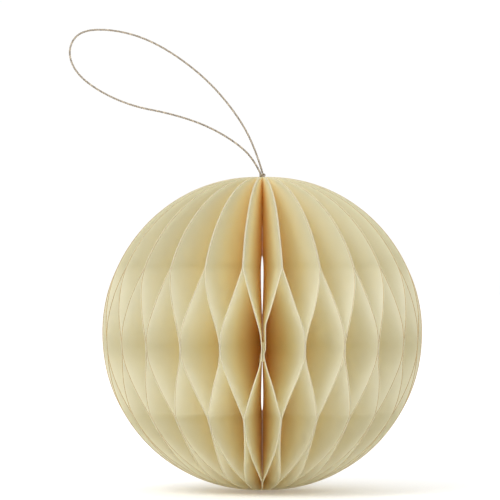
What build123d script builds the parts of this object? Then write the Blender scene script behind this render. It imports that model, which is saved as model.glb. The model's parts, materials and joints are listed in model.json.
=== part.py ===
from build123d import *
from math import asin, ceil, cos, pi, radians, sin, sqrt, tan
import os

# A honeycomb paper ball that folds flat like a fan, on a hanging loop of thin cord.
# Millimetres. +Z is up along the ball's axis. The origin is the top of that axis,
# where the loop leaves the ball. The open seam faces -Y.

# Ball
HALF_WIDTH = 42.5
HALF_HEIGHT = 41.5
DISCS = 24  # folded sheets, each a V of two leaves
SHEET = 0.18  # thickness of the paper
FILM = 0.03  # glue between two sheets
SEAM_AZIMUTH = -90
HALF_PITCH = 180 / DISCS  # degrees from a disc's middle plane to its neighbour's sheets

# Ring of folded edges round the hollow core
FOLD_HALF = SHEET + FILM / 2  # half thickness of a folded edge
FOLD_PITCH = 2 * FOLD_HALF + FILM  # from one folded edge to the next
CORE_R = FOLD_PITCH / (2 * sin(radians(HALF_PITCH)))
LEAF_REACH = HALF_WIDTH - CORE_R
FOLD_SOLID = 0.5  # how far the folded edge is solid, outwards from the ring

# Glued rows, as heights from the ball's centre. At a join a disc is glued to its
# neighbours, and at a tuck its own two leaves are glued together.
LOW_JOIN = -39.4
LOW_TUCK = -21.6
MID_JOIN = -2.6
HIGH_TUCK = 18.1
ROW_HALF = 0.75  # half the height of a glued row
ROW_INSET = 0.5  # from the end of a glued row to the edge of the paper
ROW_SLACK = 0.002  # left between the glue and the far sheet
STRAIGHT_SHARE = 0.7  # of the way from a tuck to a join, before the leaf rounds into the join
POLE_CURVE = 2.4  # power of the leaf's opening towards the join at the bottom
SECTION_STEP = 6  # degrees of the outline from one section of a leaf to the next
POLE_LATITUDE = 88.5  # where a leaf's sections stop, in degrees of the outline

# How far a leaf leaves its disc's middle plane, up the ball: heights from the centre, and
# shares of HALF_PITCH. The two seam leaves are not glued. Magnets draw them together.
SEAM_HEIGHT = -4
SEAM_SPREAD = 0.93
GLUED_LEAF = [
    (-HALF_HEIGHT, 1),
    (LOW_JOIN, 1),
    (LOW_TUCK, 0),
    (MID_JOIN, 1),
    (HIGH_TUCK, 0),
    (HALF_HEIGHT, 0),
]
SEAM_LEAF = [
    (SEAM_HEIGHT, SEAM_SPREAD) if row == MID_JOIN else (row, share) for row, share in GLUED_LEAF
]
MAGNET_R = 2.5
MAGNET_THICK = 0.28
MAGNET_REACH = 33  # from the folded edge to the magnet's centre

# Openings cut along the folded edges, between the tucks
SLOT_DEPTH = 3
SLOT_SPANS = ((-20.5, -5), (5, 20.5))
SLOT_CUTTER = 6  # thickness of the cutting solid

# Cord: one loop, with its two tails knotted at the top and inside the core
CORD_D = 0.55
KNOT_MAJOR_R = 0.6  # of the line that each turn of the knot follows
KNOT_MINOR_R = 0.35
KNOT_TURN_RISE = 0.3  # of a turn above or below the knot's middle
KNOT_HEIGHT = 0.5  # of the knot's centre above the origin
TAIL_SPACING = 0.6
TAIL_END = -12
GLUE_DAB_R = 0.3
GLUE_DAB_HEIGHT = 2.4
BACK_DISC = 12  # the disc that holds the cord, opposite the seam

# The loop's route, out of the knot, round and back into it. Each corner is rounded.
LOOP_ROUTE = [
    (0.1, 0.4, 1.0),
    (-1.2, 0.4, 5.6),
    (-4.9, 0.2, 13.9),
    (-12.3, -0.4, 23.6),
    (-21.3, -1.0, 31.3),
    (-31.0, -1.6, 36.9),
    (-40.6, -2.2, 39.2),
    (-48.6, -2.4, 38.6),
    (-51.6, -2.2, 33.6),
    (-49.6, -1.8, 27.6),
    (-43.2, -1.2, 22.6),
    (-34.6, -0.6, 18.8),
    (-24.6, -0.2, 16.9),
    (-15.2, 0.0, 13.9),
    (-7.4, -0.1, 9.5),
    (-2.4, -0.4, 5.0),
    (-0.5, -0.4, 1.0),
]
ARC_SHARE = 0.45  # of the shorter run, taken by the arc at a corner

TO_CENTRE = Pos(0, 0, -HALF_HEIGHT)
TO_FOLD = Pos(CORE_R, 0, 0)


def azimuth(disc):
    """Direction of a disc's middle plane, in degrees."""
    return SEAM_AZIMUTH + (2 * disc + 1) * HALF_PITCH


def opened(u):
    """How far a leaf has opened at u of the way from a tuck to a join."""
    if u < STRAIGHT_SHARE:
        return 2 * u / (1 + STRAIGHT_SHARE)
    return 1 - (1 - u) ** 2 / (1 - STRAIGHT_SHARE**2)


def spread(z, stations):
    """How far a leaf leaves its disc's middle plane at a height: 0 in it, 1 at the join."""
    for (low, start), (high, end) in zip(stations, stations[1:]):
        if z <= high:
            u = (z - low - ROW_HALF) / (high - low - 2 * ROW_HALF)
            u = min(max(u, 0), 1)
            if start == end:
                return start
            if low == LOW_JOIN:
                return (1 - u) ** POLE_CURVE
            return end * opened(u) if start == 0 else start * opened(1 - u)
    return stations[-1][1]


def reach(z):
    """From the folded edge to the rim of the leaf, at a height."""
    return LEAF_REACH * sqrt(1 - (z / HALF_HEIGHT) ** 2)


def section_heights(stations):
    """Heights of a leaf's sections: both sides of each row, and even steps between."""
    edges = [row + side * ROW_HALF for row, share in stations[1:-1] for side in (-1, 1)]
    stops = [asin(z / HALF_HEIGHT) for z in edges]
    stops = [-radians(POLE_LATITUDE), *stops, radians(POLE_LATITUDE)]
    latitudes = stops[:1]
    for low, high in zip(stops, stops[1:]):
        steps = ceil((high - low) / radians(SECTION_STEP))
        latitudes += [low + (high - low) * i / steps for i in range(1, steps + 1)]
    return [HALF_HEIGHT * sin(latitude) for latitude in latitudes]


def leaf(side, stations):
    """One half-round sheet on one side of its disc's middle plane, folded edge at CORE_R."""
    wires = []
    for z in section_heights(stations):
        turn = side * HALF_PITCH * spread(z, stations)
        inner = side * FILM / 2
        outer = side * FOLD_HALF
        corners = [(0, inner), (reach(z), inner), (reach(z), outer), (0, outer)]
        place = TO_FOLD * Rot(0, 0, turn)
        points = [(place * Pos(x, y, z)).position for x, y in corners]
        wires.append(Wire.make_polygon(points, close=True))
    return Solid.make_loft(wires, ruled=True)


def folded_edge():
    """The paper's turn round the fold, on the ring of radius CORE_R."""
    half = FOLD_HALF - ROW_SLACK
    height = 2 * HALF_HEIGHT * sin(radians(POLE_LATITUDE))
    outline = Rectangle(FOLD_SOLID, 2 * half, align=(Align.MIN, Align.CENTER))
    outline += Circle(half)
    return TO_FOLD * Pos(0, 0, -height / 2) * extrude(outline, height)


def slot(low, high):
    """A lens-shaped opening along the folded edge."""
    lens = Plane.XZ * Ellipse(SLOT_DEPTH, (high - low) / 2)
    return Pos(CORE_R, SLOT_CUTTER / 2, (low + high) / 2) * extrude(lens, SLOT_CUTTER)


def folded_disc(low_side, high_side):
    """A folded sheet: two leaves and the fold between them."""
    sheet = folded_edge() + leaf(-1, low_side) + leaf(1, high_side)
    for span in SLOT_SPANS:
        sheet -= slot(*span)
    return sheet


def glued_row(height, start, turn, low, high):
    """A strip of glue along one row, between two distances across the disc."""
    edge = abs(height) + ROW_HALF
    length = reach(edge) - ROW_INSET - start
    strip = Box(length, high - low, 2 * ROW_HALF, align=(Align.MIN, Align.MIN, Align.CENTER))
    return TO_FOLD * Rot(0, 0, turn) * Pos(start, low, height) * strip


def glue_rows(joined):
    """The glue of one disc: its two tucks, and its joins to the next disc."""
    half = FILM / 2 - ROW_SLACK
    rows = [glued_row(z, SLOT_DEPTH, 0, -half, half) for z in (LOW_TUCK, HIGH_TUCK)]
    if joined:
        far = FOLD_HALF + FILM - ROW_SLACK
        rows += [
            glued_row(z, 2 * FOLD_SOLID, HALF_PITCH, FOLD_HALF, far)
            for z in (LOW_JOIN, MID_JOIN)
        ]
    return rows


def magnet(side):
    """A thin round magnet on the outer face of a seam leaf."""
    across = side * (FOLD_HALF + MAGNET_THICK / 2)
    place = TO_FOLD * Rot(0, 0, side * HALF_PITCH * SEAM_SPREAD)
    place *= Pos(MAGNET_REACH, across, SEAM_HEIGHT) * Rot(90, 0, 0)
    return place * Cylinder(MAGNET_R, MAGNET_THICK)


def knot(height):
    """A small tight knot: two turns of cord, one over the other, round a solid middle."""
    outline = Rectangle(KNOT_MAJOR_R, 2 * KNOT_TURN_RISE, align=(Align.MIN, Align.CENTER))
    for side in (-1, 1):
        outline += Pos(KNOT_MAJOR_R, side * KNOT_TURN_RISE) * Circle(KNOT_MINOR_R)
        outline += Pos(0, side * KNOT_TURN_RISE) * Rectangle(
            KNOT_MAJOR_R, 2 * KNOT_MINOR_R, align=(Align.MIN, Align.CENTER)
        )
    return Pos(0, 0, height) * revolve(Plane.XZ * outline, Axis.Z)


def tail(side):
    """One end of the cord, from the knot at the top down the core to the stop knot."""
    length = KNOT_HEIGHT - TAIL_END
    strand = Cylinder(CORD_D / 2, length, align=(Align.CENTER, Align.CENTER, Align.MIN))
    return Pos(0, side * TAIL_SPACING / 2, TAIL_END) * strand


def corner_radii(points):
    """The arc at each corner, as large as its two runs allow."""
    radii = []
    for before, corner, after in zip(points, points[1:], points[2:]):
        arriving = corner - before
        leaving = after - corner
        half_turn = radians(arriving.get_angle(leaving)) / 2
        shorter = min(arriving.length, leaving.length)
        radii.append(ARC_SHARE * shorter / tan(half_turn))
    return radii


def cord_tube(route):
    """The loop: straight runs joined by arcs."""
    radii = corner_radii([Vector(point) for point in route])
    path = FilletPolyline(*route, radius=radii)
    tube = sweep(Plane(path @ 0, z_dir=path % 0) * Circle(CORD_D / 2), path=path)
    print("arc radii", [round(r, 1) for r in radii])
    print("loop length", round(path.length, 1))
    print("tube volume", round(tube.volume, 3))
    print("section times length", round(pi * CORD_D**2 / 4 * path.length, 3))
    return tube


def save(shape, name):
    export_step(shape, f"parts/{name}.step")


def main():
    os.makedirs("parts", exist_ok=True)
    middle_disc = folded_disc(GLUED_LEAF, GLUED_LEAF)
    first_disc = folded_disc(SEAM_LEAF, GLUED_LEAF)
    last_disc = folded_disc(GLUED_LEAF, SEAM_LEAF)
    last = DISCS - 1
    for number in range(DISCS):
        place = TO_CENTRE * Rot(0, 0, azimuth(number))
        disc = {0: first_disc, last: last_disc}.get(number, middle_disc)
        save(place * disc, f"disc_{number:02d}")
        save(Compound([place * row for row in glue_rows(number != last)]), f"glue_{number:02d}")
    save(TO_CENTRE * Rot(0, 0, azimuth(0)) * magnet(-1), "magnet_first")
    save(TO_CENTRE * Rot(0, 0, azimuth(last)) * magnet(1), "magnet_last")

    stop_knot = knot(TAIL_END)
    to_back = Rot(0, 0, azimuth(BACK_DISC))
    dab = Pos(CORE_R - FOLD_HALF - GLUE_DAB_R / 2, 0, TAIL_END) * Cylinder(GLUE_DAB_R, GLUE_DAB_HEIGHT)
    save(cord_tube(LOOP_ROUTE), "cord")
    save(knot(KNOT_HEIGHT), "cord_knot")
    save(Compound([tail(-1), tail(1)]), "cord_tails")
    save(stop_knot, "stop_knot")
    save(to_back * dab - TO_CENTRE * to_back * middle_disc - stop_knot, "glue_dab")


main()
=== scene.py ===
import json
import math
import random

import bpy
import numpy as np
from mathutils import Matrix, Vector, noise

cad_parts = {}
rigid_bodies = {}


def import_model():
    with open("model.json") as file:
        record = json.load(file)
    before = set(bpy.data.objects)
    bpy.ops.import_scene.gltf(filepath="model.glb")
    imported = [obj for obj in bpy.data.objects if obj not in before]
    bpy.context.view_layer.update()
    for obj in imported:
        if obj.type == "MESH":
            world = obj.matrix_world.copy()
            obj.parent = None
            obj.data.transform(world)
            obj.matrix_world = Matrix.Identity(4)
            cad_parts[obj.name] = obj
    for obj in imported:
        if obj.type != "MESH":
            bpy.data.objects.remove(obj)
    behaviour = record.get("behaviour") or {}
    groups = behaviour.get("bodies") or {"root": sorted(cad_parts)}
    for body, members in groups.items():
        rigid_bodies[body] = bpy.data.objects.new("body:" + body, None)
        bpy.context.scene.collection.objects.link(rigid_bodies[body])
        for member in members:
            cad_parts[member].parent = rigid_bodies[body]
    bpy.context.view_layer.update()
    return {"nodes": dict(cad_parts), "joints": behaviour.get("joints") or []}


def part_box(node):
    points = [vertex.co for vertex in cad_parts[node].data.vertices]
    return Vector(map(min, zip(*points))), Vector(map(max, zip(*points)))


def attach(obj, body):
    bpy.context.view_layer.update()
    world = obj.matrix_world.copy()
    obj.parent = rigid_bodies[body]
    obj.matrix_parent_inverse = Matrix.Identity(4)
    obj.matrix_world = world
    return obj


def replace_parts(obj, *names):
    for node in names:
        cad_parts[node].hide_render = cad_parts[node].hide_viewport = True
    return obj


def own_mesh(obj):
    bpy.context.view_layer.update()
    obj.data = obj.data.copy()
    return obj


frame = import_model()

# A honeycomb paper ball on a loop of thin metal-wound cord. Metres, in the CAD's frame:
# the ball's axis is Z, the origin is the top of it, and the open seam faces -Y.

MM = 0.001
SEED = 7

# The sheet and its folds, as in the CAD part.
SHEET = 0.18 * MM
FILM = 0.03 * MM  # the glue between two leaves
SLOT_DEPTH = 3 * MM
SLOT_SPANS = ((-20.5 * MM, -5 * MM), (5 * MM, 20.5 * MM))  # heights from the ball's centre
POLE_LATITUDE = math.radians(88.5)  # where the leaves end, just short of the poles

# Glued rows, as heights from the ball's centre.
LOW_JOIN = -39.4 * MM
LOW_TUCK = -21.6 * MM
MID_JOIN = -2.6 * MM
HIGH_TUCK = 18.1 * MM
ROW_HALF = 0.75 * MM
SEAM_HEIGHT = -4 * MM  # where the seam is drawn together
STRAIGHT_SHARE = 0.7  # of the way from a tuck to a join, before the leaf rounds into the join
POLE_CURVE = 2.4  # power of the leaf's opening towards the join at the bottom

# Places and sizes that the frame gives.
DISC_LOW, DISC_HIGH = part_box("disc_00")
CENTRE = Vector((0, 0, DISC_LOW.z + DISC_HIGH.z)) / 2
HALF_HEIGHT = (DISC_HIGH.z - DISC_LOW.z) / 2 / math.sin(POLE_LATITUDE)
DISCS = sum(name.startswith("disc_") for name in frame["nodes"])
HALF_PITCH = math.pi / DISCS
DRIVER = frame["joints"][0]  # the fold that the others follow, on the back disc
BACK_DISC = int(DRIVER["parent"][-2:])
CORE_R = Vector(DRIVER["pos_m"][:2]).length / math.cos(HALF_PITCH)
HALF_WIDTH = max(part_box("disc_05")[1].x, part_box("disc_06")[1].x)
LEAF_REACH = HALF_WIDTH - CORE_R

RIM_HIGHLIGHT_BAND = 0.990  # share of the way from the ball's centre where the painted highlight along the paper's rim starts
RIM_HIGHLIGHT_FADE = 0.003  # and over which it comes in
PAPER_THROUGH = 0.65  # share of the light that goes through a leaf
GLUE_THROUGH = 0.8


# ---------------------------------------------------------------- materials

def new_material(name):
    """A material with one Principled shader, its node tree and that shader."""
    material = bpy.data.materials.new(name)
    material.use_nodes = True
    tree = material.node_tree
    shader = tree.nodes["Principled BSDF"]
    return material, tree, shader


def object_points(tree, scale=(1, 1, 1)):
    """Object coordinates, stretched by scale."""
    place = tree.nodes.new("ShaderNodeTexCoord")
    mapping = tree.nodes.new("ShaderNodeMapping")
    mapping.inputs["Scale"].default_value = scale
    tree.links.new(place.outputs["Object"], mapping.inputs["Vector"])
    return mapping.outputs["Vector"]


def noise_value(tree, points, scale, detail=3, roughness=0.5):
    """A noise texture's value at points."""
    texture = tree.nodes.new("ShaderNodeTexNoise")
    texture.inputs["Scale"].default_value = scale
    texture.inputs["Detail"].default_value = detail
    texture.inputs["Roughness"].default_value = roughness
    tree.links.new(points, texture.inputs["Vector"])
    return texture.outputs["Fac"]


def ramp(tree, value, *stops):
    """A colour ramp through stops of (place, colour)."""
    node = tree.nodes.new("ShaderNodeValToRGB")
    band = node.color_ramp
    while len(band.elements) < len(stops):
        band.elements.new(0.5)
    for element, (place, colour) in zip(band.elements, stops):
        element.position = place
        element.color = (*colour, 1)
    tree.links.new(value, node.inputs["Fac"])
    return node.outputs["Color"]


def blended(tree, kind, share, first, second):
    """Two colours mixed as kind says, by share. Each is a value or a socket."""
    node = tree.nodes.new("ShaderNodeMix")
    node.data_type = "RGBA"
    node.blend_type = kind
    for socket, value in (("Factor", share), ("A", first), ("B", second)):
        target = next(s for s in node.inputs if s.name == socket and s.enabled)
        if isinstance(value, bpy.types.NodeSocket):
            tree.links.new(value, target)
        else:
            target.default_value = value
    return next(s for s in node.outputs if s.enabled)


def bumped(tree, shader, height, strength, distance):
    """Bump from a height value, on a shader."""
    bump = tree.nodes.new("ShaderNodeBump")
    bump.inputs["Strength"].default_value = strength
    bump.inputs["Distance"].default_value = distance
    tree.links.new(height, bump.inputs["Height"])
    tree.links.new(bump.outputs["Normal"], shader.inputs["Normal"])


def lit_through(tree, shader, colour, share):
    """Let a share of the light through a shader's surface, in a colour or a colour socket."""
    glow = tree.nodes.new("ShaderNodeBsdfTranslucent")
    if isinstance(colour, bpy.types.NodeSocket):
        tree.links.new(colour, glow.inputs["Color"])
    else:
        glow.inputs["Color"].default_value = (*colour, 1)
    both = tree.nodes.new("ShaderNodeMixShader")
    both.inputs["Fac"].default_value = share
    tree.links.new(shader.outputs["BSDF"], both.inputs[1])
    tree.links.new(glow.outputs["BSDF"], both.inputs[2])
    output = next(n for n in tree.nodes if n.type == "OUTPUT_MATERIAL")
    tree.links.new(both.outputs["Shader"], output.inputs["Surface"])


def maths(tree, operation, *values):
    """A math node's result. Each value is a number or a socket."""
    node = tree.nodes.new("ShaderNodeMath")
    node.operation = operation
    for socket, value in zip(node.inputs, values):
        if isinstance(value, bpy.types.NodeSocket):
            tree.links.new(value, socket)
        else:
            socket.default_value = value
    return node.outputs["Value"]


def places_in_ball(tree):
    """How far out a point lies, 1 at the ball's surface: from its centre, and level from its axis."""
    place = tree.nodes.new("ShaderNodeTexCoord")
    mapping = tree.nodes.new("ShaderNodeMapping")
    scale = Vector((1 / HALF_WIDTH, 1 / HALF_WIDTH, 1 / HALF_HEIGHT))
    mapping.inputs["Scale"].default_value = scale
    mapping.inputs["Location"].default_value = -CENTRE * scale
    tree.links.new(place.outputs["Object"], mapping.inputs["Vector"])
    parts = tree.nodes.new("ShaderNodeSeparateXYZ")
    tree.links.new(mapping.outputs["Vector"], parts.inputs["Vector"])
    lengths = (maths(tree, "ABSOLUTE", parts.outputs[axis]) for axis in "XYZ")
    x, y, z = (maths(tree, "POWER", length, 2) for length in lengths)
    across = maths(tree, "ADD", x, y)
    from_centre = maths(tree, "SQRT", maths(tree, "ADD", across, z))
    never_zero = 0.001
    profile = maths(tree, "MAXIMUM", maths(tree, "SUBTRACT", 1, z), never_zero)
    from_axis = maths(tree, "SQRT", maths(tree, "DIVIDE", across, profile))
    return from_centre, from_axis


def paper_material():
    """Cream uncoated paper that lets light through: cloudy pulp, fine fibres, a painted highlight
    along the rim, and a painted warm glow towards the ball's axis, where light has passed through
    many leaves, with painted shade that dims it towards the outside."""
    material, tree, shader = new_material("cream_paper")
    fibres = noise_value(tree, object_points(tree, (1, 1, 0.35)), scale=2600, detail=4, roughness=0.6)
    clouds = noise_value(tree, object_points(tree), scale=90, detail=3)
    pulp = ramp(tree, clouds, (0.3, (0.985, 0.975, 0.92)), (0.7, (1, 0.99, 0.94)))
    grain = ramp(tree, fibres, (0.35, (0.975, 0.97, 0.96)), (0.65, (1, 1, 1)))
    sheet = blended(tree, "MULTIPLY", 1.0, pulp, grain)
    from_centre, from_axis = places_in_ball(tree)
    # Painted light: a warm glow towards the axis, where light has passed through many leaves, and
    # painted shade that makes the paper darker and greyer towards the outside.
    painted_glow_and_shade = ramp(
        tree,
        from_axis,
        (0.04, (1, 0.95, 0.78)),
        (0.35, (0.99, 0.965, 0.875)),
        (0.7, (0.965, 0.955, 0.87)),
        (0.96, (0.885, 0.88, 0.80)),
    )
    paper_with_painted_glow = blended(tree, "MULTIPLY", 1.0, sheet, painted_glow_and_shade)
    # Painted highlight: a paler band on the leaves' faces next to the rim, where the light catches
    # them.
    painted_rim_highlight = ramp(tree, from_centre, (RIM_HIGHLIGHT_BAND, (0, 0, 0)), (RIM_HIGHLIGHT_BAND + RIM_HIGHLIGHT_FADE, (1, 1, 1)))
    colour = blended(tree, "MIX", painted_rim_highlight, paper_with_painted_glow, (0.92, 0.93, 0.80, 1))
    tree.links.new(colour, shader.inputs["Base Color"])
    shader.inputs["Roughness"].default_value = 0.62
    shader.inputs["Specular IOR Level"].default_value = 0.3
    bumped(tree, shader, fibres, strength=0.35, distance=0.02 * MM)
    # The light through the leaf carries the same painted glow and shade.
    through = blended(tree, "MULTIPLY", 1.0, painted_glow_and_shade, (1, 0.985, 0.95, 1))
    lit_through(tree, shader, through, PAPER_THROUGH)
    return material


def edge_material():
    """The thin gold-brown line beside the paper's rim: partly the gilding, partly a painted shadow in
    the narrow gap between the rim and the next leaf.
    """
    material, tree, shader = new_material("gilt_and_painted_shade_edge")
    flecks = noise_value(tree, object_points(tree), scale=4500, detail=2)
    # Gold-brown of the gilding, darkened to paint the shadow in the gap beside the rim.
    colour = ramp(tree, flecks, (0.3, (0.42, 0.29, 0.12)), (0.7, (0.62, 0.46, 0.23)))
    tree.links.new(colour, shader.inputs["Base Color"])
    shader.inputs["Metallic"].default_value = 0.2
    shader.inputs["Roughness"].default_value = 0.45
    bumped(tree, shader, flecks, strength=0.3, distance=0.01 * MM)
    return material


def glue_material():
    """Dried craft glue, nearly the paper's colour, which lets most of the light through."""
    material, tree, shader = new_material("dried_glue")
    ripples = noise_value(tree, object_points(tree), scale=700, detail=2)
    colour = ramp(tree, ripples, (0.3, (0.90, 0.88, 0.76)), (0.7, (0.96, 0.95, 0.84)))
    tree.links.new(colour, shader.inputs["Base Color"])
    shader.inputs["Roughness"].default_value = 0.35
    bumped(tree, shader, ripples, strength=0.4, distance=0.02 * MM)
    lit_through(tree, shader, (0.98, 0.97, 0.90), GLUE_THROUGH)
    return material


def magnet_material():
    """A thin magnet under a cream paper label."""
    material, tree, shader = new_material("magnet_cover")
    grain = noise_value(tree, object_points(tree), scale=2200, detail=3)
    colour = ramp(tree, grain, (0.35, (0.80, 0.76, 0.60)), (0.65, (0.86, 0.82, 0.66)))
    tree.links.new(colour, shader.inputs["Base Color"])
    shader.inputs["Roughness"].default_value = 0.55
    bumped(tree, shader, grain, strength=0.3, distance=0.015 * MM)
    return material


def cord_material(name, dark, light, metallic):
    """Metal-wound thread, with flecks where the foil catches the light."""
    material, tree, shader = new_material(name)
    flecks = noise_value(tree, object_points(tree), scale=1900, detail=2)
    colour = ramp(tree, flecks, (0.35, dark), (0.68, light))
    tree.links.new(colour, shader.inputs["Base Color"])
    shader.inputs["Metallic"].default_value = metallic
    shader.inputs["Roughness"].default_value = 0.38
    wrap = noise_value(tree, object_points(tree), scale=5200, detail=2)
    bumped(tree, shader, wrap, strength=0.5, distance=0.02 * MM)
    return material


PAPER = paper_material()
EDGE = edge_material()
GLUE = glue_material()
MAGNET = magnet_material()
CORD_GOLD = cord_material("cord_gold", (0.28, 0.23, 0.17), (0.56, 0.48, 0.37), metallic=0.45)
CORD_GREY = cord_material("cord_grey", (0.22, 0.19, 0.155), (0.40, 0.355, 0.30), metallic=0.3)
CORD_FINISH = [CORD_GOLD, CORD_GREY]


# ---------------------------------------------------------------- mesh helpers

SHARP_ANGLE = math.radians(35)


def mesh_piece(name, points, faces, materials, body):
    """A mesh object from points and (corners, material index) faces, on a body, with a slot's
    finish."""
    mesh = bpy.data.meshes.new(name)
    mesh.from_pydata([tuple(p) for p in points], [], [corners for corners, index in faces])
    mesh.polygons.foreach_set("material_index", [index for corners, index in faces])
    for material in materials:
        mesh.materials.append(material)
    mesh.shade_smooth()
    mesh.set_sharp_from_angle(angle=SHARP_ANGLE)
    mesh.update()
    piece = bpy.data.objects.new(name, mesh)
    bpy.context.scene.collection.objects.link(piece)
    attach(piece, body)
    return piece


def ring_faces(start, rings, around, index=0):
    """Faces between rings of points, each closed on itself, from the point numbered start."""
    faces = []
    for ring in range(rings - 1):
        low = start + ring * around
        for i in range(around):
            j = (i + 1) % around
            faces.append(((low + i, low + j, low + around + j, low + around + i), index))
    return faces


# ---------------------------------------------------------------- cord

CORD_D = 0.55 * MM
STRANDS = 3
STRAND_SIDES = 8
STRAND_SWELL = 1.04  # a strand's width against that of strands that only just touch
TWIST = 1.9 * MM  # along the cord, for one whole turn
KNOT_TWIST = 1.2 * MM
STRAND_STEP = 0.1 * MM

# The loop's route in metres, out of the knot at the top, round and back into it.
LOOP_ROUTE = [
    (0.0001, 0.0004, 0.0010),
    (-0.0012, 0.0004, 0.0056),
    (-0.0049, 0.0002, 0.0139),
    (-0.0123, -0.0004, 0.0236),
    (-0.0213, -0.0010, 0.0313),
    (-0.0310, -0.0016, 0.0369),
    (-0.0406, -0.0022, 0.0392),
    (-0.0486, -0.0024, 0.0386),
    (-0.0516, -0.0022, 0.0336),
    (-0.0496, -0.0018, 0.0276),
    (-0.0432, -0.0012, 0.0226),
    (-0.0346, -0.0006, 0.0188),
    (-0.0246, -0.0002, 0.0169),
    (-0.0152, 0.0, 0.0139),
    (-0.0074, -0.0001, 0.0095),
    (-0.0024, -0.0004, 0.0050),
    (-0.0005, -0.0004, 0.0010),
]


def route_line(route):
    """Points along the smooth line that the route's points control."""
    curve = bpy.data.curves.new("route", "CURVE")
    curve.dimensions = "3D"
    spline = curve.splines.new("NURBS")
    spline.points.add(len(route) - 1)
    for point, place in zip(spline.points, route):
        point.co = (*place, 1)
    spline.order_u = 3
    spline.use_endpoint_u = True
    spline.resolution_u = 24
    bare = bpy.data.objects.new("route", curve)
    bpy.context.scene.collection.objects.link(bare)
    mesh = bpy.data.meshes.new_from_object(bare)
    line = np.array([v.co for v in mesh.vertices])
    bpy.data.objects.remove(bare)
    bpy.data.curves.remove(curve)
    bpy.data.meshes.remove(mesh)
    return line


def even_steps(line, step):
    """The same line with its points a step apart."""
    runs = np.linalg.norm(np.diff(line, axis=0), axis=1)
    along = np.concatenate([[0], np.cumsum(runs)])
    places = np.linspace(0, along[-1], round(along[-1] / step))
    return np.stack([np.interp(places, along, line[:, i]) for i in range(3)], axis=1)


def travelling_frames(line):
    """Two directions across the line at each of its points, turning as little as they can."""
    tangents = np.gradient(line, axis=0)
    tangents /= np.linalg.norm(tangents, axis=1)[:, None]
    not_along_the_start = (0.3, 1, 0.2)
    across = np.cross(tangents[0], not_along_the_start)
    firsts = []
    for tangent in tangents:
        across = across - tangent * (across @ tangent)
        across = across / np.linalg.norm(across)
        firsts.append(across)
    firsts = np.array(firsts)
    return firsts, np.cross(tangents, firsts)


def tube(line, radius, sides):
    """Rings of points round a line."""
    first, second = travelling_frames(line)
    angles = np.linspace(0, 2 * math.pi, sides, endpoint=False)
    cosines, sines = np.cos(angles)[None, :, None], np.sin(angles)[None, :, None]
    turn = cosines * first[:, None] + sines * second[:, None]
    return (line[:, None] + radius * turn).reshape(-1, 3)


def twisted_strands(line, diameter, twist):
    """Strands laid round each other along a line, the first with material 1: points and faces."""
    line = even_steps(line, STRAND_STEP)
    first, second = travelling_frames(line)
    strand_r = diameter / 2 / (1 + 2 / math.sqrt(3))
    helix_r = diameter / 2 - strand_r
    strand_r *= STRAND_SWELL
    along = np.arange(len(line)) * STRAND_STEP
    points, faces = [], []
    for strand in range(STRANDS):
        angle = 2 * math.pi * (along / twist + strand / STRANDS)
        middle = line + helix_r * (np.cos(angle)[:, None] * first + np.sin(angle)[:, None] * second)
        start = sum(len(p) for p in points)
        rings = tube(middle, strand_r, STRAND_SIDES)
        points.append(rings)
        index = 1 if strand == 0 else 0
        faces += ring_faces(start, len(line), STRAND_SIDES, index)
        faces.append((tuple(range(start, start + STRAND_SIDES))[::-1], index))
        end = start + len(rings)
        faces.append((tuple(range(end - STRAND_SIDES, end)), index))
    return np.concatenate(points), faces


KNOT_R = 0.5 * MM
KNOT_LOBE = 0.36  # how far its line swings in and out, as a share of its radius
KNOT_RISE = 0.3 * MM
KNOT_STRAND_D = 0.5 * MM
KNOT_POINTS = 160


def knot_line(centre, radius, height):
    """A trefoil lying round the Z axis, closed on itself."""
    t = np.linspace(0, 2 * math.pi, KNOT_POINTS)
    out = radius * (1 + KNOT_LOBE * np.cos(3 * t))
    return np.stack([out * np.cos(2 * t), out * np.sin(2 * t), height * np.sin(3 * t)], 1) + centre


def knot_piece(name, node):
    """A small tight knot in place of its CAD solid."""
    low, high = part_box(node)
    line = knot_line(np.array((low + high) / 2), KNOT_R, KNOT_RISE)
    points, faces = twisted_strands(line, KNOT_STRAND_D, KNOT_TWIST)
    piece = mesh_piece(name, points, faces, CORD_FINISH, f"pleat_{BACK_DISC:02d}")
    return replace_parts(piece, node)


def make_cord():
    """The loop, its knots and its two tails down the core."""
    body = f"pleat_{BACK_DISC:02d}"
    line = route_line(LOOP_ROUTE)
    points, faces = twisted_strands(line, CORD_D, TWIST)
    loop = mesh_piece("cord_loop", points, faces, CORD_FINISH, body)
    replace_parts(loop, "cord")
    top_knot = knot_piece("cord_top_knot", "cord_knot")
    knot_piece("cord_stop_knot", "stop_knot")
    low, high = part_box("cord_tails")
    points, faces = [], []
    for side in (-1, 1):
        place = (high.y - low.y - CORD_D) / 2 * side
        straight = np.array([(0, place, low.z), (0, place, high.z)])
        more, sides = twisted_strands(straight, CORD_D, TWIST)
        start = sum(len(p) for p in points)
        points.append(more)
        faces += [(tuple(start + i for i in corners), index) for corners, index in sides]
    points = np.concatenate(points)
    tails = mesh_piece("cord_tails_wound", points, faces, CORD_FINISH, body)
    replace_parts(tails, "cord_tails")


# ---------------------------------------------------------------- paper

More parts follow.
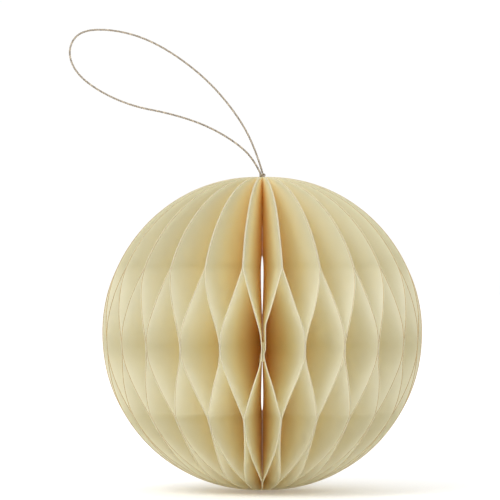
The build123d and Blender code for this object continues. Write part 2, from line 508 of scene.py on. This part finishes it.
SECTIONS = 120  # up a leaf
COLUMNS = 13  # across a leaf
COLUMN_POWER = 0.85  # sets the columns a little closer together towards the rim
SLOT_END_SHARES = (0, 0.002, 0.01, 0.03, 0.06)  # more sections, this far in from a slot's ends
GILT_AND_SHADE_BAND = 0.16 * MM  # width of the thin gold-brown line beside the leaf's rim, on both its faces: part gilding, part painted shadow in the gap beside the rim
TUCK_DRIFT = 0.22  # degrees that a tuck strays from its even place, either way
JOIN_DRIFT = 0.3  # and a join
BULGE = 0.35  # degrees that a leaf strays between two rows
WAVE = 14 * MM  # scale, up the leaf, of the noise that it strays by
DISC_STRIDE, SIDE_STRIDE = 3.1, 1.7  # through that noise, from disc to disc and side to side
FOLD_STEPS = 8  # round the turn of a fold
FOLD_LAP = 0.02 * MM  # how far the turn reaches over the leaves

# Heights of the rows up a leaf, and how far it has opened there: 0 on its disc's middle plane,
# 1 where it meets the next disc's leaf.
GLUED_LEAF = [
    (-HALF_HEIGHT, 1),
    (LOW_JOIN, 1),
    (LOW_TUCK, 0),
    (MID_JOIN, 1),
    (HIGH_TUCK, 0),
    (HALF_HEIGHT, 0),
]
SEAM_CLOSE = 0.96  # how far the seam's two leaves have opened where it is drawn together
SEAM_LEAF = [
    (SEAM_HEIGHT, SEAM_CLOSE) if row == MID_JOIN else (row, share) for row, share in GLUED_LEAF
]
SEAM_STOP = 0.885  # where the first disc's seam leaf stops short, above the seam's closing
SEAM_RUSH = 1.12  # how much sooner it gets there
EASY_BEND = 0.5  # share of the full rounding, for leaves that open more straightly

chance = random.Random(SEED)
TUCK_TURN = [math.radians(chance.uniform(-TUCK_DRIFT, TUCK_DRIFT)) for disc in range(DISCS)]
JOIN_TURN = [math.radians(chance.uniform(-JOIN_DRIFT, JOIN_DRIFT)) for disc in range(DISCS)]


def azimuth(disc):
    """Direction of a disc's middle plane. The seam is at -90 degrees, before the first disc."""
    return -math.pi / 2 + (2 * disc + 1) * HALF_PITCH


def opened(u):
    """How far a leaf has opened at u of the way from a tuck to a join: straight, then rounded."""
    if u < STRAIGHT_SHARE:
        return 2 * u / (1 + STRAIGHT_SHARE)
    return 1 - (1 - u) ** 2 / (1 - STRAIGHT_SHARE**2)


def spread(z, stations, join_bend, tuck_bend):
    """How far a leaf has opened at a height, and how free it is from the rows there. The bends say
    how much of its full rounding it has at a join and at a tuck."""
    for (low, start), (high, end) in zip(stations, stations[1:]):
        if z <= high:
            u = (z - low - ROW_HALF) / (high - low - 2 * ROW_HALF)
            u = min(max(u, 0), 1)
            free = 4 * u * (1 - u)
            if start == end:
                return start, free
            if low == LOW_JOIN:
                return (1 - u) ** POLE_CURVE, free
            away = u if start == 0 else 1 - u
            at_join = opened(away) - away
            at_tuck = 1 - opened(1 - away) - away
            share = away + join_bend * at_join + tuck_bend * at_tuck
            return max(start, end) * share, free
    return stations[-1][1], 0


def reach(z):
    """From the folded edge to the rim of the leaf, at a height."""
    return LEAF_REACH * math.sqrt(max(0, 1 - (z / HALF_HEIGHT) ** 2))


def slot_depth(z):
    """How far the opening along the fold goes out at a height, 0 where the fold is whole."""
    for low, high in SLOT_SPANS:
        u = (2 * z - low - high) / (high - low)
        if abs(u) < 1:
            return SLOT_DEPTH * math.sqrt(1 - u * u)
    return 0


def section_heights():
    """Heights of a leaf's sections, closer together towards the poles and at the slots' ends."""
    latitudes = [POLE_LATITUDE * (2 * i / SECTIONS - 1) for i in range(SECTIONS + 1)]
    even = [HALF_HEIGHT * math.sin(latitude) for latitude in latitudes]
    ends = []
    for low, high in SLOT_SPANS:
        for share in SLOT_END_SHARES:
            ends += [low + (high - low) * share, high - (high - low) * share]
    return sorted(even + ends)


HEIGHTS = section_heights()


def wave(row, side, z):
    """How a leaf strays at a height, between -1 and 1."""
    return noise.noise(Vector((z / WAVE, row * DISC_STRIDE, side * SIDE_STRIDE + SEED)))


def leaf_turn(disc, side, z):
    """The leaf's direction from its disc's middle plane, at a height. Leaves that lie together stray
    together: a disc's own two above its high tuck, and neighbours' below the low join."""
    first, last = (disc, side) == (0, -1), (disc, side) == (DISCS - 1, 1)
    faces_seam = side < 0 if disc < DISCS / 2 else side > 0
    join_bend, tuck_bend = 1, 0
    if first or last:
        join_bend = 1 if z > SEAM_HEIGHT else EASY_BEND
    elif faces_seam and z > MID_JOIN:
        join_bend, tuck_bend = EASY_BEND, EASY_BEND
    share, free = spread(z, SEAM_LEAF if first or last else GLUED_LEAF, join_bend, tuck_bend)
    if first and z > SEAM_HEIGHT:
        share = min(share * SEAM_RUSH, SEAM_STOP)
    edge = disc if side > 0 else (disc - 1) % DISCS
    tuck = TUCK_TURN[disc]
    join = side * HALF_PITCH + (0 if first or last else JOIN_TURN[edge])
    if z > HIGH_TUCK:
        stray = wave(disc, 0, z)
    elif z < LOW_JOIN:
        stray = wave(edge, 0, z)
    else:
        stray = wave(disc, side, z)
    return tuck + (join - tuck) * share + math.radians(BULGE) * free * stray


def leaf_shell(disc, side, start):
    """One leaf as a closed shell: rings of points up the ball, and its faces."""
    fold = Vector((CORE_R * math.cos(azimuth(disc)), CORE_R * math.sin(azimuth(disc)), CENTRE.z))
    shares = np.linspace(0, 1, COLUMNS - 1) ** COLUMN_POWER
    around = 2 * COLUMNS
    points = []
    for z in HEIGHTS:
        angle = azimuth(disc) + leaf_turn(disc, side, z)
        out = Vector((math.cos(angle), math.sin(angle), 0))
        over = Vector((-math.sin(angle), math.cos(angle), 0)) * side
        near, far = slot_depth(z), reach(z)
        stops = [near + (far - GILT_AND_SHADE_BAND - near) * s for s in shares] + [far]
        base = fold + Vector((0, 0, z))
        inner = [base + out * r + over * (FILM / 2) for r in stops]
        outer = [base + out * r + over * (FILM / 2 + SHEET) for r in stops]
        points += inner + outer[::-1]
    faces = []
    # The bands beside the rim take the gold-brown finish: part gilding, part painted shadow.
    gilt_and_shade_columns = (COLUMNS - 2, COLUMNS)
    for ring in range(len(HEIGHTS) - 1):
        low = start + ring * around
        for i in range(around):
            j = (i + 1) % around
            corners = (low + i, low + j, low + around + j, low + around + i)
            faces.append((corners if side > 0 else corners[::-1], 1 if i in gilt_and_shade_columns else 0))
    for ring in (0, len(HEIGHTS) - 1):
        low = start + ring * around
        for i in range(COLUMNS - 1):
            corners = (low + i, low + i + 1, low + around - 2 - i, low + around - 1 - i)
            flip = (ring == 0) == (side > 0)
            faces.append((corners[::-1] if flip else corners, 0))
    return points, faces


def fold_strips(disc, start):
    """The paper's turn round the fold, wherever no opening is cut in it."""
    angle = azimuth(disc)
    out = Vector((math.cos(angle), math.sin(angle), 0))
    over = Vector((-math.sin(angle), math.cos(angle), 0))
    spans, low = [], HEIGHTS[0]
    for slot_low, slot_high in SLOT_SPANS:
        spans.append((low, slot_low))
        low = slot_high
    spans.append((low, HEIGHTS[-1]))
    points, faces = [], []
    for low, high in spans:
        rows = [z for z in HEIGHTS if low <= z <= high]
        first = start + len(points)
        for z in rows:
            base = CENTRE + Vector((0, 0, z)) + out * (CORE_R + FOLD_LAP)
            outer = [(FILM / 2 + SHEET, i) for i in range(FOLD_STEPS + 1)]
            inner = [(FILM / 2, i) for i in range(FOLD_STEPS, -1, -1)]
            for radius, i in outer + inner:
                a = math.pi * (i / FOLD_STEPS + 0.5)
                points.append(base + (out * math.cos(a) + over * math.sin(a)) * radius)
        around = 2 * (FOLD_STEPS + 1)
        faces += [(corners[::-1], index) for corners, index in ring_faces(first, len(rows), around)]
        for ring in (0, len(rows) - 1):
            at = first + ring * around
            for i in range(FOLD_STEPS):
                corners = (at + i, at + i + 1, at + around - 2 - i, at + around - 1 - i)
                faces.append((corners if ring == 0 else corners[::-1], 0))
    return points, faces


def flatten(piece):
    """Gives the piece its own copy of its mesh."""
    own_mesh(piece)


def make_disc(disc):
    """One folded sheet of paper: two leaves and the fold between them."""
    points, faces = [], []
    for side in (-1, 1):
        more, sides = leaf_shell(disc, side, len(points))
        points += more
        faces += sides
    more, sides = fold_strips(disc, len(points))
    points += more
    faces += sides
    finish = [PAPER, EDGE]
    piece = mesh_piece(f"paper_{disc:02d}", points, faces, finish, f"pleat_{disc:02d}")
    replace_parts(piece, f"disc_{disc:02d}")
    flatten(piece)


GLUE_STEPS = 40  # along a bead
GLUE_SIDES = 10
GLUE_HALF = FILM * 0.45  # half a bead's thickness, a little thinner than its gap
GLUE_WIDTH, GLUE_WAVER = 0.82, 0.16  # a bead's width and how it varies, as shares of its row's
GLUE_WAVES = 9
GLUE_SQUARENESS = 12  # power that rounds a bead's ends
GLUE_END = 0.02  # keeps the ends from coming to a point
GLUE_MARGIN = 0.6 * MM  # from a bead's end to the rim
JOIN_START = 1 * MM  # from the fold to where a join's bead starts


def glue_bead(disc, side, height, first, start):
    """A flat uneven bead of glue along a row, from first, a distance out from the fold, to near the
    rim."""
    turn = leaf_turn(disc, side, height) if side else TUCK_TURN[disc]
    angle = azimuth(disc) + turn
    out = Vector((math.cos(angle), math.sin(angle), 0))
    over = Vector((-math.sin(angle), math.cos(angle), 0))
    middle = (FILM + SHEET) * side
    ahead = azimuth(disc)
    fold = Vector((CORE_R * math.cos(ahead), CORE_R * math.sin(ahead), CENTRE.z + height))
    last = reach(abs(height) + ROW_HALF) - GLUE_MARGIN
    points = []
    for step in range(GLUE_STEPS + 1):
        u = step / GLUE_STEPS
        ends = math.sqrt(max(GLUE_END, 1 - (2 * u - 1) ** GLUE_SQUARENESS))
        waver = noise.noise(Vector((u * GLUE_WAVES, disc, height / MM)))
        width = ROW_HALF * ends * (GLUE_WIDTH + GLUE_WAVER * waver)
        base = fold + out * (first + (last - first) * u) + over * middle
        for i in range(GLUE_SIDES):
            a = 2 * math.pi * i / GLUE_SIDES
            rise = Vector((0, 0, width * math.cos(a)))
            points.append(base + rise + over * (GLUE_HALF * math.sin(a)))
    faces = ring_faces(start, GLUE_STEPS + 1, GLUE_SIDES)
    faces.append((tuple(range(start, start + GLUE_SIDES))[::-1], 0))
    end = start + len(points)
    faces.append((tuple(range(end - GLUE_SIDES, end)), 0))
    return points, faces


def make_glue(disc):
    """The glue of one disc: its two tucks, and its joins to the next disc."""
    rows = [(0, LOW_TUCK, SLOT_DEPTH), (0, HIGH_TUCK, SLOT_DEPTH)]
    if disc < DISCS - 1:
        rows += [(1, LOW_JOIN, JOIN_START), (1, MID_JOIN, JOIN_START)]
    points, faces = [], []
    for side, height, first in rows:
        more, sides = glue_bead(disc, side, height, first, len(points))
        points += more
        faces += sides
    finish = [GLUE]
    piece = mesh_piece(f"glue_beads_{disc:02d}", points, faces, finish, f"pleat_{disc:02d}")
    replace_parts(piece, f"glue_{disc:02d}")
    flatten(piece)


# ---------------------------------------------------------------- stage

VIEW_WIDTH = 132.8 * MM  # across the picture, at the ball
VIEW_CENTRE = Vector((-3.24 * MM, 0, -19.4 * MM))
VIEW_DISTANCE = 0.95
SENSOR = 36
FLOOR_GAP = 0.5 * MM  # under the ball
FLOOR_RADIUS = 4
LIGHT_BOUNCES = 64  # the light in the cells has passed through many leaves
PAPER_BOUNCES = 40


def make_camera():
    """A long lens in front of the seam, level with the upper part of the ball."""
    camera = bpy.data.cameras.new("camera")
    camera.sensor_width = SENSOR
    camera.lens = SENSOR * VIEW_DISTANCE / VIEW_WIDTH
    camera.clip_start = 0.01
    eye = bpy.data.objects.new("camera", camera)
    eye.location = VIEW_CENTRE + Vector((0, -VIEW_DISTANCE, 0))
    eye.rotation_euler = (math.pi / 2, 0, 0)
    bpy.context.scene.collection.objects.link(eye)
    bpy.context.scene.camera = eye


def soft_light(name, place, size, power):
    """A square soft box that faces the ball."""
    lamp = bpy.data.lights.new(name, "AREA")
    lamp.size = size
    lamp.energy = power
    box = bpy.data.objects.new(name, lamp)
    box.location = place
    box.rotation_euler = (CENTRE - Vector(place)).to_track_quat("-Z", "Y").to_euler()
    bpy.context.scene.collection.objects.link(box)


def make_studio():
    """A pale floor just under the ball, a white surround and soft lights."""
    world = bpy.data.worlds.new("white_surround")
    world.use_nodes = True
    background = world.node_tree.nodes["Background"]
    background.inputs["Color"].default_value = (1, 1, 1, 1)
    background.inputs["Strength"].default_value = 1.02
    bpy.context.scene.world = world
    bpy.context.scene.view_settings.view_transform = "Standard"
    bpy.context.scene.cycles.max_bounces = LIGHT_BOUNCES
    bpy.context.scene.cycles.diffuse_bounces = PAPER_BOUNCES
    bpy.context.scene.cycles.transmission_bounces = PAPER_BOUNCES
    soft_light("key_light", (-0.5, -0.6, 0.7), size=0.6, power=4.5)
    soft_light("fill_light", (0.5, -0.9, 0.3), size=0.5, power=0.5)
    bpy.ops.mesh.primitive_circle_add(vertices=96, radius=FLOOR_RADIUS, fill_type="NGON")
    floor = bpy.context.object
    floor.name = "floor"
    floor.location = (0, 0, DISC_LOW.z - FLOOR_GAP)
    material, tree, shader = new_material("pale_floor")
    shader.inputs["Base Color"].default_value = (0.93, 0.93, 0.93, 1)
    shader.inputs["Roughness"].default_value = 0.9
    shader.inputs["Emission Color"].default_value = (1, 1, 1, 1)
    shader.inputs["Emission Strength"].default_value = 0.15
    floor.data.materials.append(material)


make_camera()
make_cord()
for number in range(DISCS):
    make_disc(number)
    make_glue(number)
for magnet in ("magnet_first", "magnet_last"):
    frame["nodes"][magnet].data.materials.clear()
    frame["nodes"][magnet].data.materials.append(MAGNET)
dab = frame["nodes"]["glue_dab"]
dab.data.materials.clear()
dab.data.materials.append(GLUE)
make_studio()
